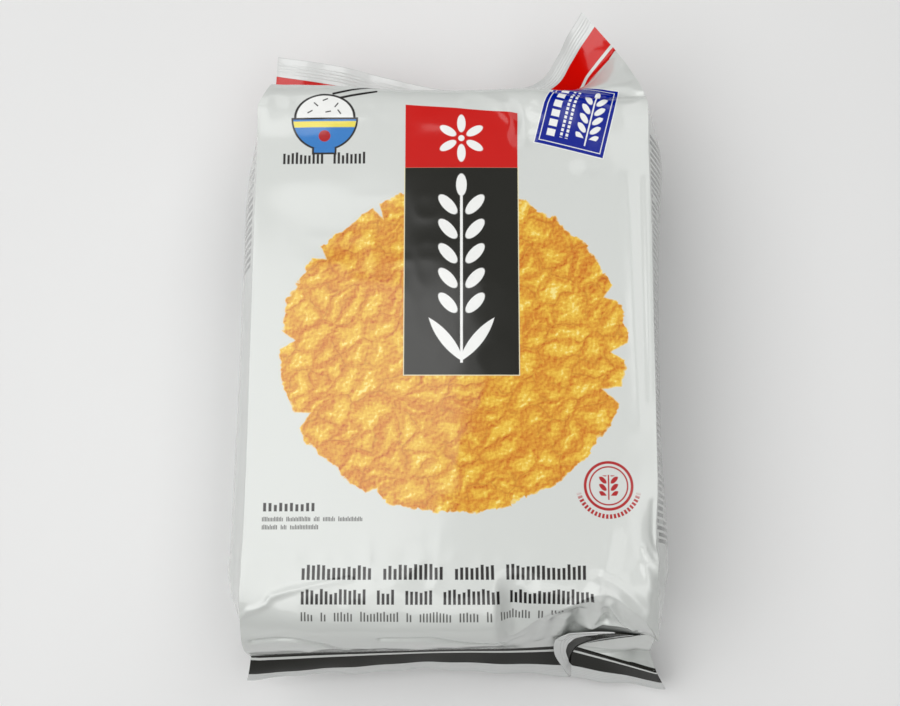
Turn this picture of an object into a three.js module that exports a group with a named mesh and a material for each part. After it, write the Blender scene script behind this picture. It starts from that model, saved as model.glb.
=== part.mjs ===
// A sealed, gusseted foil bag of rice crackers, lying on its back with its printed front up.
// The bag is one film tube: a front and a back panel joined by two side gussets, closed at both
// ends by a flat sealed fin. Its contents can't be seen, so it is one solid out to the film.
// Millimetres, +Z up, +Y towards the top of the bag, +X to the right of the printed front.
import * as THREE from 'three';

// Driving sizes of the film tube
const HALF_WIDTH = 88;          // half the flat width across a fin
const TUCK = 43;                // how far each gusset is tucked in at a fin
const MID_FOLD = HALF_WIDTH - TUCK;
const DEPTH = 85;               // front panel over back panel
const CROWN = 1.5;              // swell of the front panel
const PANEL_BOTTOM = -88;       // where the panels start to turn down into the lower end
const PANEL_TOP = 105;          // the same at the upper end

// Half widths between the long creases
const FRONT_LEFT = 82.8;
const LEFT_FLARE = 1.7;         // how much wider the left is at the bottom
const FRONT_RIGHT = 81;
const BACK_HALF = 80;

// The gussets' middle folds on the bulged sides, as [y, x, y, z]
const LEFT_FOLD = [
  [-88, -94.6, -88, 42], [-20, -92.8, -20, 42], [0, -92.2, 0, 42], [40, -92.3, 40, 42],
  [80, -91, 80, 42], [105, -84.5, 105, 42],
];
const RIGHT_FOLD = [
  [-88, 90, -88, 42], [-60, 89.2, -60, 42], [-40, 87.9, -40, 42], [0, 87.9, 0, 42],
  [40, 88.2, 40, 42], [75, 90.4, 75, 42], [92, 91, 92, 42], [105, 87, 105, 42],
];

// The layers of film in a fin: how far each lies off the fin's middle plane, and off its own
// leaf's where the fin stands open. The outer films meet the fin further out than the gusset
// between them, so that each has room to turn: reach is that distance past the fin's base.
const PANEL_FILM = { closed: 1.1, open: 0.5, reach: 3 };
const EDGE_FOLD = { closed: 0.7, open: 0, reach: 2 };
const GUSSET_FILM = { closed: 0.3, open: -0.5, reach: 0.8 };
const MIDDLE_FOLD = { closed: 0, open: 0, reach: 0 };

// Divisions of the grid
const COLUMNS_CENTRE = 12;      // between the two middle folds
const COLUMNS_TUCK = 6;         // over one tuck
const ROWS_FIN = 3;
const ROWS_WALL = 10;
const ROWS_PANEL = 14;

// Rails across the bag, as [distance from the middle of the film, x, y, z]
const TOP_CREASE = [
  [-88, -76, 119.1, 84], [-70, -65.5, 118.7, 85], [-45, -42.5, 117.8, 85.2], [-30, -28, 117.1, 85.3],
  [0, 0, 116.1, 85.5], [20, 19, 116.3, 85.3], [33, 31, 116.2, 85], [46, 43.5, 113.2, 85],
  [70, 65, 111.8, 84.5], [88, 80.7, 110.8, 85],
];
const TOP_BASE = [
  [-88, -81, 118.5, 42], [-58, -53, 114.5, 40], [-30, -25, 107.8, 40], [-6, 0, 103, 42],
  [20, 27, 106.5, 50], [46, 54.6, 117, 60], [60, 60.4, 125.3, 61.2], [88, 71, 138.2, 62],
];
const TOP_SEAL = [
  [-88, -79.2, 141.3, 48], [-58, -51.6, 137.6, 46], [-30, -24.6, 131, 45], [-6, -1.2, 126.4, 44],
  [20, 22.5, 127.5, 41], [36, 32.7, 128.2, 44], [46, 40.6, 132.3, 48], [60, 46, 141.4, 51],
  [88, 56.1, 157, 60.8],
];
const TOP_BACK_CREASE = [
  [-88, -80, 106, 0], [0, 0, 104, 0], [46, 42, 106, 0], [88, 79, 108, 4],
];
const BOTTOM_CREASE = [
  [-88, -86, -115, 85], [-60, -58, -118.3, 87.3], [0, 0, -119.5, 87.5], [26, 25, -118.5, 87],
  [88, 84, -112, 82],
];
const BOTTOM_PULL = [
  [-88, -86.5, -121.3, 64], [-60, -58, -121, 73], [0, 0, -120.3, 76], [26, 26, -119.5, 74],
  [88, 84, -114, 66],
];
const BOTTOM_BASE = [
  [-88, -85, -121, 43], [-60, -58.5, -120, 42.5], [-25, -24.5, -119.2, 42], [0, 0, -118.6, 42],
  [25, 25, -118.2, 41], [45, 48.5, -117.0, 32],
];
const BOTTOM_FLAP_BASE = [
  [45, 48.5, -117.0, 32], [66, 63, -115.2, 48], [88, 77, -113.4, 60],
];
const BOTTOM_BACK_BASE = [
  [45, 48.5, -117.0, 32], [66, 66, -122, 31.5], [88, 85, -127.8, 32],
];
const BOTTOM_SEAL = [
  [-88, -89.5, -131, 20], [-70, -71, -130, 19.5], [-45, -45, -128.3, 19], [0, 0, -127, 19],
  [25, 26.5, -128.8, 17], [45, 50, -130, 9],
];
const BOTTOM_FLAP_SEAL = [
  [45, 50, -130, 9], [50, 46, -126, 22], [54, 42.2, -121.3, 35], [60, 41.6, -116.4, 49],
  [67, 45.5, -113.2, 60], [74, 53, -112.2, 67], [81, 62, -112.6, 69], [88, 74, -113.6, 66],
];
const BOTTOM_BACK_SEAL = [
  [45, 50, -130, 9], [66, 70, -132.6, 9], [88, 92, -136, 9],
];
const BOTTOM_BACK_CREASE = [
  [-88, -82, -104, 0], [0, 0, -105, 0], [88, 82, -104, 0],
];
// The sharp rim of the dent over the lower right corner, which rises to a point and falls again
const RIDGE = [
  [14, 13.0, -117.2, 62], [21, 19.6, -115.6, 66], [28, 26.0, -112.4, 72], [36.6, 33.7, -107.6, 79],
  [49.3, 45.4, -103.3, 84], [55.6, 51.2, -100.6, 85.6], [61.5, 56.6, -98.3, 86.2],
  [66.3, 61.0, -99.0, 86.2], [70.5, 64.9, -100.8, 86], [74.5, 68.6, -103.9, 85],
  [80, 73.8, -107.6, 82], [83.3, 77.0, -110.9, 79], [86, 79.6, -113.9, 74], [88, 82.0, -116.6, 68],
];
const RIDGE_START = [16, 26];   // the wall turns from round to ridged over this stretch
const RIDGE_SHARE = 0.3;        // share of a wall's rows that lie above the ridge
const BROW = 5;                 // how far the film swells before it falls to the ridge
const BROW_ALONG = 0.55;        // the share of the way to the ridge where it does
const BROW_DROP = 8;            // and how far down the ridge is where it swells so much
const HOLLOW = 2.2;             // how hollow the dent's far side is
const HOLLOW_START = [28, 48];  // and where along the ridge that comes in

// How sharply the film turns at a crease: the share of the way on to the fin at which it is drawn
const TOP_PULL = 0.15;
const BACK_PULL = 0.4;

// The gussets' middle folds
const FOLD_SHIFT = 1.5;         // the crease itself lies this much out from the middle fold
const FOLD_TURN = 0.5;          // how far along a closed end its middle folds run on before they turn in
const FOLD_CORNER = 0.9;        // and where they then meet the fin's corner
const CORNER_INSET = 5;
const OPEN_TURN = 0.5;          // how far along its way the open gusset's fold turns in
const OPEN_FOLD = new THREE.Vector3(81, -119.5, 45);         // and where that is

const NORMAL_STEP = 2;          // a fin's slope is measured over this far to each side

function lerp(a, b, t) {
  return a + (b - a) * t;
}

// 0 to 1 with a soft start and end, as the value goes from one limit to the other
function smooth(value, [from, to]) {
  const t = Math.min(Math.max((value - from) / (to - from), 0), 1);
  return t * t * (3 - 2 * t);
}

// A smooth curve through a rail's keys, with the slope at each key taken from its neighbours.
function along(rail, s) {
  let k = 0;
  while (k < rail.length - 2 && s > rail[k + 1][0]) {
    k += 1;
  }
  const slope = (i, axis) => {
    const before = rail[Math.max(i - 1, 0)];
    const after = rail[Math.min(i + 1, rail.length - 1)];
    return (after[axis] - before[axis]) / (after[0] - before[0]);
  };
  const span = rail[k + 1][0] - rail[k][0];
  const t = (s - rail[k][0]) / span;
  const coordinate = (axis) => {
    const a = rail[k][axis];
    const b = rail[k + 1][axis];
    const ma = slope(k, axis) * span;
    const mb = slope(k + 1, axis) * span;
    return a + t * (ma + t * (3 * (b - a) - 2 * ma - mb + t * (2 * (a - b) + ma + mb)));
  };
  return new THREE.Vector3(coordinate(1), coordinate(2), coordinate(3));
}

// A rail that parts from another one beyond the middle fold.
function parted(rail, beyond, s) {
  return s <= MID_FOLD ? along(rail, s) : along(beyond, s);
}

// Each end's fin has a front and a back leaf, each with the rail of its base and of its sealed edge.
const top = {
  front: { base: (s) => along(TOP_BASE, s), seal: (s) => along(TOP_SEAL, s) },
  back: { base: (s) => along(TOP_BASE, s), seal: (s) => along(TOP_SEAL, s) },
};
const bottom = {
  front: {
    base: (s) => parted(BOTTOM_BASE, BOTTOM_FLAP_BASE, s),
    seal: (s) => parted(BOTTOM_SEAL, BOTTOM_FLAP_SEAL, s),
  },
  back: {
    base: (s) => parted(BOTTOM_BASE, BOTTOM_BACK_BASE, s),
    seal: (s) => parted(BOTTOM_SEAL, BOTTOM_BACK_SEAL, s),
  },
};

// The way square to a fin's leaf, at s
function finNormal(rails, s) {
  const low = Math.max(s - NORMAL_STEP, -HALF_WIDTH);
  const high = Math.min(s + NORMAL_STEP, HALF_WIDTH);
  const middle = (at) => rails.base(at).add(rails.seal(at)).multiplyScalar(0.5);
  const across = middle(high).sub(middle(low));
  const down = rails.seal(s).sub(rails.base(s));
  return down.cross(across).normalize();
}

// The lower end's fin stands open beyond the right gusset's middle fold.
function isOpen(end, s) {
  return end === bottom && s > MID_FOLD + FOLD_SHIFT;
}

// A point of a fin on one leaf, front or back: t is 0 at its base and 1 at its sealed edge.
function finPoint(end, leaf, s, t, film) {
  const rails = end[leaf];
  const offset = isOpen(end, s) ? film.open : film.closed;
  const outward = (end === bottom ? 1 : -1) * (leaf === 'front' ? 1 : -1);
  const base = rails.base(s);
  const seal = rails.seal(s);
  const start = seal.clone().sub(base).setLength(film.reach).add(base);
  return start.lerp(seal, t).addScaledVector(finNormal(rails, s), outward * offset);
}

// The front or back panel's film, which at its edge is the fold into the gusset
function panelFilm(s) {
  return Math.abs(s) >= HALF_WIDTH ? EDGE_FOLD : PANEL_FILM;
}

// A gusset's middle fold in a fin
function foldPoint(end, side, t) {
  return finPoint(end, 'back', side * (MID_FOLD + FOLD_SHIFT), t, MIDDLE_FOLD);
}

function bezier(p0, p1, p2, p3, t) {
  const r = 1 - t;
  return new THREE.Vector3()
    .addScaledVector(p0, r * r * r)
    .addScaledVector(p1, 3 * r * r * t)
    .addScaledVector(p2, 3 * r * t * t)
    .addScaledVector(p3, t * t * t);
}

// The panels between the two ends
function frontPanel(s, y) {
  const u = s / HALF_WIDTH;
  const down = (PANEL_TOP - y) / (PANEL_TOP - PANEL_BOTTOM);
  const half = u < 0 ? FRONT_LEFT + LEFT_FLARE * down ** 2 : FRONT_RIGHT;
  return new THREE.Vector3(u * half, y, DEPTH + CROWN * (1 - u * u));
}

function backPanel(s, y) {
  return new THREE.Vector3((s / HALF_WIDTH) * BACK_HALF, y, 0);
}

function sideFold(side, y) {
  return along(side > 0 ? RIGHT_FOLD : LEFT_FOLD, y);
}

// A curve from one point to another, drawn towards a third
function arc(from, towards, to, t) {
  return bezier(from, from.clone().lerp(towards, 2 / 3), to.clone().lerp(towards, 2 / 3), to, t);
}

// The lower right corner: out to the ridge, over it and down the dent's far side
function ridgedWall(s, w, target) {
  const start = frontPanel(s, PANEL_BOTTOM);
  const rim = along(RIDGE, Math.max(s, RIDGE[0][0]));
  if (w < RIDGE_SHARE) {
    const brow = start.clone().lerp(rim, BROW_ALONG);
    brow.z += BROW * smooth(DEPTH + CROWN - rim.z, [0, BROW_DROP]);
    return arc(start, brow, rim, w / RIDGE_SHARE);
  }
  const hollow = rim.clone().lerp(target, 0.5);
  hollow.y += HOLLOW * smooth(s, HOLLOW_START);
  return arc(rim, hollow, target, (w - RIDGE_SHARE) / (1 - RIDGE_SHARE));
}

// A wall runs from the panel over its crease to the fin: w is 0 at the panel and 1 at the fin.
function frontWall(end, s, w) {
  const target = finPoint(end, 'front', s, 0, panelFilm(s));
  if (end === bottom) {
    const start = frontPanel(s, PANEL_BOTTOM);
    const rounded = bezier(start, along(BOTTOM_CREASE, s), along(BOTTOM_PULL, s), target, w);
    return rounded.lerp(ridgedWall(s, w, target), smooth(s, RIDGE_START));
  }
  const crease = along(TOP_CREASE, s);
  const pull = crease.clone().lerp(target, TOP_PULL);
  return bezier(frontPanel(s, PANEL_TOP), crease, pull, target, w);
}

function backWall(end, s, w) {
  const target = finPoint(end, 'back', s, 0, panelFilm(s));
  const crease = along(end === bottom ? BOTTOM_BACK_CREASE : TOP_BACK_CREASE, s);
  const y = end === bottom ? PANEL_BOTTOM : PANEL_TOP;
  const pull = crease.clone().lerp(target, BACK_PULL);
  return bezier(backPanel(s, y), crease, pull, target, w);
}

// The gusset's middle fold, from the bulged side to where it is tucked into the fin
function middleFold(end, side, w) {
  const start = sideFold(side, end === bottom ? PANEL_BOTTOM : PANEL_TOP);
  const target = foldPoint(end, side, 0);
  if (end === bottom && side > 0) {
    return w < OPEN_TURN
      ? start.lerp(OPEN_FOLD, w / OPEN_TURN)
      : OPEN_FOLD.clone().lerp(target, (w - OPEN_TURN) / (1 - OPEN_TURN));
  }
  const turn = start.clone().setY(lerp(start.y, target.y, FOLD_TURN));
  const edge = end.back.base(side * HALF_WIDTH);
  const corner = edge.setX(edge.x - side * CORNER_INSET).lerp(start, 1 - FOLD_CORNER);
  return bezier(start, turn, corner, target, w);
}

// Half a gusset, from the front or back edge (q = 0) to the middle fold (q = 1)
function gusset(edge, fold, q, swell) {
  const bulge = (Math.sin((q * Math.PI) / 2) - q) * (fold.x - edge.x) * swell;
  return edge.clone().lerp(fold, q).add(new THREE.Vector3(bulge, 0, 0));
}

// The columns round the tube
const frontColumns = [];
for (let i = 0; i < COLUMNS_TUCK; i += 1) {
  frontColumns.push(lerp(-HALF_WIDTH, -MID_FOLD, i / COLUMNS_TUCK));
}
for (let i = 0; i < COLUMNS_CENTRE; i += 1) {
  frontColumns.push(lerp(-MID_FOLD, MID_FOLD, i / COLUMNS_CENTRE));
}
for (let i = 0; i <= COLUMNS_TUCK; i += 1) {
  frontColumns.push(lerp(MID_FOLD, HALF_WIDTH, i / COLUMNS_TUCK));
}
const tuckSteps = [];
for (let i = 1; i < COLUMNS_TUCK; i += 1) {
  tuckSteps.push(i / COLUMNS_TUCK);
}

// One ring round the tube, from the front's left edge over the right gusset and the back
function ring(front, back, fold, gussetPoint) {
  const points = frontColumns.map((s) => front(s));
  const half = (side, leaf, steps) => {
    for (const q of steps) {
      points.push(gussetPoint(side, leaf, q));
    }
  };
  const reversed = [...tuckSteps].reverse();
  half(1, 'front', tuckSteps);
  points.push(fold(1));
  half(1, 'back', reversed);
  points.push(...[...frontColumns].reverse().map((s) => back(s)));
  half(-1, 'back', tuckSteps);
  points.push(fold(-1));
  half(-1, 'front', reversed);
  return points;
}

function finRing(end, t) {
  return ring(
    (s) => finPoint(end, 'front', s, t, panelFilm(s)),
    (s) => finPoint(end, 'back', s, t, panelFilm(s)),
    (side) => foldPoint(end, side, t),
    (side, leaf, q) => finPoint(end, leaf, side * lerp(HALF_WIDTH, MID_FOLD, q), t, GUSSET_FILM),
  );
}

function wallRing(end, w) {
  const swell = (1 - w) ** 2;
  const gussetPoint = (side, leaf, q) => {
    const edge = (leaf === 'front' ? frontWall : backWall)(end, side * HALF_WIDTH, w);
    return gusset(edge, middleFold(end, side, w), q, swell);
  };
  return ring(
    (s) => frontWall(end, s, w),
    (s) => backWall(end, s, w),
    (side) => middleFold(end, side, w),
    gussetPoint,
  );
}

function panelRing(y) {
  const fold = (side) => sideFold(side, y);
  const gussetPoint = (side, leaf, q) => {
    const edge = (leaf === 'front' ? frontPanel : backPanel)(side * HALF_WIDTH, y);
    return gusset(edge, fold(side), q, 1);
  };
  return ring((s) => frontPanel(s, y), (s) => backPanel(s, y), fold, gussetPoint);
}

const rings = [];
for (let i = 0; i <= ROWS_FIN; i += 1) {
  rings.push(finRing(bottom, 1 - i / ROWS_FIN));
}
for (let i = 1; i < ROWS_WALL; i += 1) {
  rings.push(wallRing(bottom, 1 - i / ROWS_WALL));
}
for (let i = 0; i <= ROWS_PANEL; i += 1) {
  rings.push(panelRing(lerp(PANEL_BOTTOM, PANEL_TOP, i / ROWS_PANEL)));
}
for (let i = 1; i < ROWS_WALL; i += 1) {
  rings.push(wallRing(top, i / ROWS_WALL));
}
for (let i = 0; i <= ROWS_FIN; i += 1) {
  rings.push(finRing(top, i / ROWS_FIN));
}

// The tube's faces, and a cap over each sealed edge
const positions = [];
for (const points of rings) {
  for (const point of points) {
    positions.push(point.x, point.y, point.z);
  }
}
const around = rings[0].length;
const frontEnd = frontColumns.length - 1;
const backStart = frontEnd + 2 * COLUMNS_TUCK;
const backEnd = backStart + frontEnd;

// Layers that lie on each other in a fin share their diagonals, though some run to the left.
function runsLeft(column) {
  const inRightGussetFront = column >= frontEnd && column < frontEnd + COLUMNS_TUCK;
  const inBackPanel = column >= backStart && column < backEnd;
  const inLeftGussetFront = column >= backEnd + COLUMNS_TUCK;
  return inRightGussetFront || inBackPanel || inLeftGussetFront;
}

const faces = [];
for (let row = 0; row < rings.length - 1; row += 1) {
  for (let column = 0; column < around; column += 1) {
    const a = row * around + column;
    const b = row * around + ((column + 1) % around);
    if (runsLeft(column)) {
      faces.push(a, b, a + around, b, b + around, a + around);
    } else {
      faces.push(a, b, b + around, a, b + around, a + around);
    }
  }
}

// The edge's outline is a flat H on its side: a centre strip and four tucked strips.
function cap(row, outwards) {
  const start = row * around;
  const front = (i) => start + i;
  const foldRight = start + frontEnd + COLUMNS_TUCK;
  const back = (i) => start + backEnd - i;
  const foldLeft = start + backEnd + COLUMNS_TUCK;
  const triangle = (a, b, c) => (outwards ? faces.push(a, b, c) : faces.push(a, c, b));
  const quad = (a, b, c, d) => {
    triangle(a, b, c);
    triangle(a, c, d);
  };
  // At a fold two corners of a strip's quad are the same point.
  const quadOrEnd = (a, b, c, d) => {
    const corners = [...new Set([a, b, c, d])];
    if (corners.length === 4) {
      quad(a, b, c, d);
    } else {
      triangle(...corners);
    }
  };
  const centreLeft = COLUMNS_TUCK;
  const centreRight = COLUMNS_TUCK + COLUMNS_CENTRE;
  for (let i = centreLeft; i < centreRight; i += 1) {
    quad(front(i), front(i + 1), back(i + 1), back(i));
  }
  triangle(front(centreLeft), back(centreLeft), foldLeft);
  triangle(front(centreRight), foldRight, back(centreRight));
  for (let i = 0; i < COLUMNS_TUCK; i += 1) {
    const gussetFront = (k) => foldRight - k;
    const gussetBack = (k) => foldRight + k;
    quadOrEnd(front(centreRight + i), front(centreRight + i + 1), gussetFront(i + 1), gussetFront(i));
    quadOrEnd(gussetBack(i), gussetBack(i + 1), back(centreRight + i + 1), back(centreRight + i));
    const leftBack = (k) => foldLeft - k;
    const leftFront = (k) => (foldLeft + k === start + around ? front(0) : foldLeft + k);
    quadOrEnd(front(centreLeft - i - 1), front(centreLeft - i), leftFront(i), leftFront(i + 1));
    quadOrEnd(leftBack(i + 1), leftBack(i), back(centreLeft - i), back(centreLeft - i - 1));
  }
}
cap(0, false);
cap(rings.length - 1, true);

const geometry = new THREE.BufferGeometry();
geometry.setAttribute('position', new THREE.Float32BufferAttribute(positions, 3));
geometry.setIndex(faces);
geometry.computeBoundingBox();
const centre = geometry.boundingBox.getCenter(new THREE.Vector3());
geometry.translate(-centre.x, -centre.y, -geometry.boundingBox.min.z);
geometry.computeVertexNormals();

const film = new THREE.MeshStandardMaterial({ color: 0xdcdfdd, roughness: 0.3, metalness: 0.3 });
const bag = new THREE.Mesh(geometry, film);
bag.name = 'cracker_bag';

const object = new THREE.Group();
object.add(bag);

export default object;
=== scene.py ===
"""A sealed, gusseted foil bag of rice crackers on a pale floor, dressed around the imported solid.

The film is one tube: a front and a back panel, two side gussets and a flat sealed fin at each end.
It follows the same rails as the solid, on a grid fine enough for its creases, dents and crimps.
Lengths are in millimetres in the film's own frame, and become metres when the mesh is made:
+Y is towards the top of the print, +X to its right, and the bag lies on z = 0.
"""
import math

import bpy
import numpy as np
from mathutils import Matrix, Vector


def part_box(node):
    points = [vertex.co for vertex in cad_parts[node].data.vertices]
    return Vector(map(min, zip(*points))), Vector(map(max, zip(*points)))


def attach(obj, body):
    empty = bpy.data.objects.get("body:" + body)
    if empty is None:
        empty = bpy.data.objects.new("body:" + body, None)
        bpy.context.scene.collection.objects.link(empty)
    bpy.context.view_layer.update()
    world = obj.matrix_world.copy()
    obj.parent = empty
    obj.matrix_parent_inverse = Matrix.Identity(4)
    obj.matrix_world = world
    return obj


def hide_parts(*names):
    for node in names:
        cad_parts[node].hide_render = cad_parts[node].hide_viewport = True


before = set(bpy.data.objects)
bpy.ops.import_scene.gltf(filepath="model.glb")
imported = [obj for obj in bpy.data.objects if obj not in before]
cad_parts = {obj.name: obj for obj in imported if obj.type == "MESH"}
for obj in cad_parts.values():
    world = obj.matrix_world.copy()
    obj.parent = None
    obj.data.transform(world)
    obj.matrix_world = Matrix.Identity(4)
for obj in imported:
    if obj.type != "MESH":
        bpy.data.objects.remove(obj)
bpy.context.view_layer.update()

MM = 0.001

# ------------------------ the film tube's driving sizes

HALF_WIDTH = 88.0  # half the flat width across a fin
TUCK = 43.0  # how far each gusset is tucked in at a fin
MID_FOLD = HALF_WIDTH - TUCK
OPEN_FROM = MID_FOLD + 0.01  # the lower fin stands open beyond this
DEPTH = 85.0  # front panel over back panel
CROWN = 1.5  # swell of the front panel
PANEL_BOTTOM = -88.0  # where the panels start to turn down into the lower end
PANEL_TOP = 105.0  # the same at the upper end
FIN = 24.0  # length of a fin

FRONT_LEFT = 82.8  # half widths between the long creases
LEFT_FLARE = 1.7  # how much wider the left is at the bottom
FRONT_RIGHT = 81.0
BACK_HALF = 80.0

# The gussets' middle folds on the bulged sides, as [y, x], and how high they lie
LEFT_FOLD = [[-88, -94.6], [-20, -92.8], [0, -92.2], [40, -92.3], [80, -91], [105, -84.5]]
RIGHT_FOLD = [
    [-88, 90], [-60, 89.2], [-40, 87.9], [0, 87.9], [40, 88.2], [75, 90.4], [92, 91], [105, 87],
]
FOLD_HEIGHT = 42.0

# Rails across the bag, as [distance from the middle of the film, x, y, z]
TOP_CREASE = [
    [-88, -76, 119.1, 84], [-70, -65.5, 118.7, 85], [-45, -42.5, 117.8, 85.2], [-30, -28, 117.1, 85.3],
    [0, 0, 116.1, 85.5], [20, 19, 116.3, 85.3], [33, 31, 116.2, 85], [46, 43.5, 113.2, 85],
    [70, 65, 111.8, 84.5], [88, 80.7, 110.8, 85],
]
TOP_BASE = [
    [-88, -81, 118.5, 42], [-58, -53, 114.5, 40], [-30, -25, 107.8, 40], [-6, 0, 103, 42],
    [20, 27, 106.5, 50], [46, 54.6, 117, 60], [60, 60.4, 125.3, 61.2], [88, 71, 138.2, 62],
]
TOP_SEAL = [
    [-88, -79.2, 141.3, 48], [-58, -51.6, 137.6, 46], [-30, -24.6, 131, 45],
    [-6, -1.2, 126.4, 44], [20, 22.5, 127.5, 41], [36, 32.7, 128.2, 44], [46, 40.6, 132.3, 48],
    [60, 46, 141.4, 51], [88, 56.1, 157, 60.8],
]
TOP_BACK_CREASE = [
    [-88, -80, 106, 0], [0, 0, 104, 0], [46, 42, 106, 0], [88, 79, 108, 4],
]
BOTTOM_CREASE = [
    [-88, -86, -115, 85], [-60, -58, -118.3, 87.3], [0, 0, -119.5, 87.5], [26, 25, -118.5, 87],
    [88, 84, -112, 82],
]
BOTTOM_PULL = [
    [-88, -86.5, -120.6, 64], [-60, -58, -119.9, 73], [0, 0, -118.4, 76], [26, 26, -117.9, 74],
    [88, 84, -114, 66],
]
BOTTOM_BASE = [
    [-88, -85, -121, 43], [-60, -58.5, -120, 42.5], [-25, -24.5, -119.2, 42], [0, 0, -118.6, 42],
    [25, 25, -118.2, 41], [45, 48.5, -117, 32],
]
BOTTOM_FLAP_BASE = [
    [45, 48.5, -117, 32], [66, 63, -115.2, 48], [88, 77, -113.4, 60],
]
BOTTOM_BACK_BASE = [
    [45, 48.5, -117, 32], [66, 66, -122, 31.5], [88, 85, -127.8, 32],
]
BOTTOM_SEAL = [
    [-88, -89.5, -131, 20], [-70, -71, -130, 19.5], [-45, -45, -128.3, 19], [0, 0, -127, 19],
    [25, 26.5, -128.8, 17], [45, 50, -130, 9],
]
BOTTOM_FLAP_SEAL = [
    [45, 50, -130, 9], [50, 46, -126, 22], [54, 42.2, -121.3, 35], [60, 41.6, -116.4, 49],
    [67, 45.5, -113.2, 60], [74, 53, -112.2, 67], [81, 62, -112.6, 69], [88, 74, -113.6, 66],
]
BOTTOM_BACK_SEAL = [
    [45, 50, -130, 9], [66, 70, -132.6, 9], [88, 92, -136, 9],
]
BOTTOM_BACK_CREASE = [
    [-88, -82, -104, 0], [0, 0, -105, 0], [88, 82, -104, 0],
]
# The sharp rim of the dent over the lower right corner, which rises to a point and falls again
RIDGE = [
    [14, 13, -117.2, 62], [21, 19.6, -115.6, 66], [28, 26, -112.4, 72], [36.6, 33.7, -107.6, 79],
    [49.3, 45.4, -103.3, 84], [55.6, 51.2, -100.6, 85.6], [61.5, 56.6, -98.3, 86.2],
    [66.3, 61, -99, 86.2], [70.5, 64.9, -100.8, 86], [74.5, 68.6, -103.9, 85],
    [80, 73.8, -107.6, 82], [83.3, 77, -110.9, 79], [86, 79.6, -113.9, 74], [88, 82, -116.6, 68],
]
RIDGE_START = (16.0, 26.0)  # the wall turns from round to ridged over this stretch
RIDGE_SHARE = 0.3  # share of a wall's rows that lie above the ridge

BROW = 5.0  # how far the film swells before it falls to the ridge
BROW_DROP = 8.0  # it swells so much where the ridge lies this far down
BROW_ALONG = 0.55  # and at this share of the way to it
HOLLOW = 2.2  # how hollow the dent's far side is
HOLLOW_START = (28.0, 48.0)  # and the stretch over which that comes in
SHELF = (-3.6, 9.5)  # how it juts out and up again over the turned-up fin
SHELF_START = (46.0, 58.0)
SHELF_END = (90.0, 80.0)

# How sharply the film turns at a crease: the share of the way on to the fin at which it is drawn
TOP_PULL = 0.15
BACK_PULL = 0.4

# The gussets' middle folds
FOLD_SHIFT = 0.8  # a gusset's crease lies this much out from the middle fold
FOLD_TURN = 0.5  # how far along a closed end its middle folds run on before they turn in
FOLD_CORNER = 0.9  # and how far towards the fin's corner they then aim
CORNER_INSET = 5.0  # which is met this far in
OPEN_TURN = 0.5  # how far along its way the open gusset's fold turns in
OPEN_FOLD = np.array([81, -119.5, 45.0])  # and where that is
FIN_BASE = np.zeros(1)  # t of the base, where t goes from a fin's base to its sealed edge
NORMAL_STEP = 2.0  # a fin's slope is measured over this far to each side
FLAP_CLIPPED = 74.0  # beyond this the turned-up flap gets narrower and its bands run out

# How far each layer of film lies off its fin's middle plane, off its own leaf's where the fin
# stands open, and how far past the fin's base it meets the fin
PANEL_FILM = (0.35, 0.25, 0.9)
EDGE_FOLD = (0.25, 0.0, 2.0)
GUSSET_FILM = (0.12, -0.25, 0.8)
MIDDLE_FOLD = (0.0, 0.0, 0.0)
EDGE_BLEND = 4.0  # the panel's film passes into its edge fold over this width

# The heat seal's ribs along a fin's edge, and the slow waves of the edge itself
SEAL_WIDTH = 9.0
RIB_PITCH = 1.45
RIB_HEIGHT = 0.11
RIBBED = (1.6, 8.6)  # from and to, measured from the sealed edge
FIN_CURL = 1.8  # how far the lower fin swells out at its left end
CURL_START = (-10.0, -80.0)  # and the stretch over which that comes in
EDGE_WAVES = ((0.55, 47.0, 0.4), (0.35, 21.0, 2.1))  # height, length and phase of each

# Divisions of the grid
COLUMNS_CENTRE = 84
COLUMNS_TUCK = 44
ROWS_SEAL = 26  # over the ribbed strip at a fin's edge
ROWS_BAND = 12  # over the rest of a fin
ROWS_FIN = ROWS_BAND + ROWS_SEAL
ROWS_WALL = 80
ROWS_PANEL = 150


# ------------------------ curves and surfaces

def lerp(a, b, t):
    return a + (b - a) * t


def smooth(t):
    """0 to 1 with a soft start and end."""
    t = np.clip(t, 0, 1)
    return t * t * (3 - 2 * t)


def rise(value, start, end):
    """0 to 1, softly, as the value goes from the start to the end."""
    return smooth((value - start) / (end - start))


def along(rail, s):
    """A smooth curve through a rail's keys, with the slope at each key taken from its neighbours."""
    keys = np.array(rail, float)
    last = len(keys) - 1
    before = keys[np.maximum(np.arange(last + 1) - 1, 0)]
    after = keys[np.minimum(np.arange(last + 1) + 1, last)]
    slopes = (after - before)[:, 1:] / (after - before)[:, :1]
    k = np.searchsorted(keys[1:-1, 0], s)
    span = (keys[k + 1, 0] - keys[k, 0])[..., None]
    t = (s - keys[k, 0])[..., None] / span
    a, b = keys[k, 1:], keys[k + 1, 1:]
    leave, arrive = slopes[k] * span, slopes[k + 1] * span
    bend = 3 * (b - a) - 2 * leave - arrive + t * (2 * (a - b) + leave + arrive)
    return a + t * (leave + t * bend)


def on(rails, s):
    """A point on the first of two rails up to the middle fold, and on the second one beyond it."""
    rail, beyond = rails
    return np.where((s <= MID_FOLD)[..., None], along(rail, np.minimum(s, MID_FOLD)),
                    along(beyond, np.maximum(s, MID_FOLD)))


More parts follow.
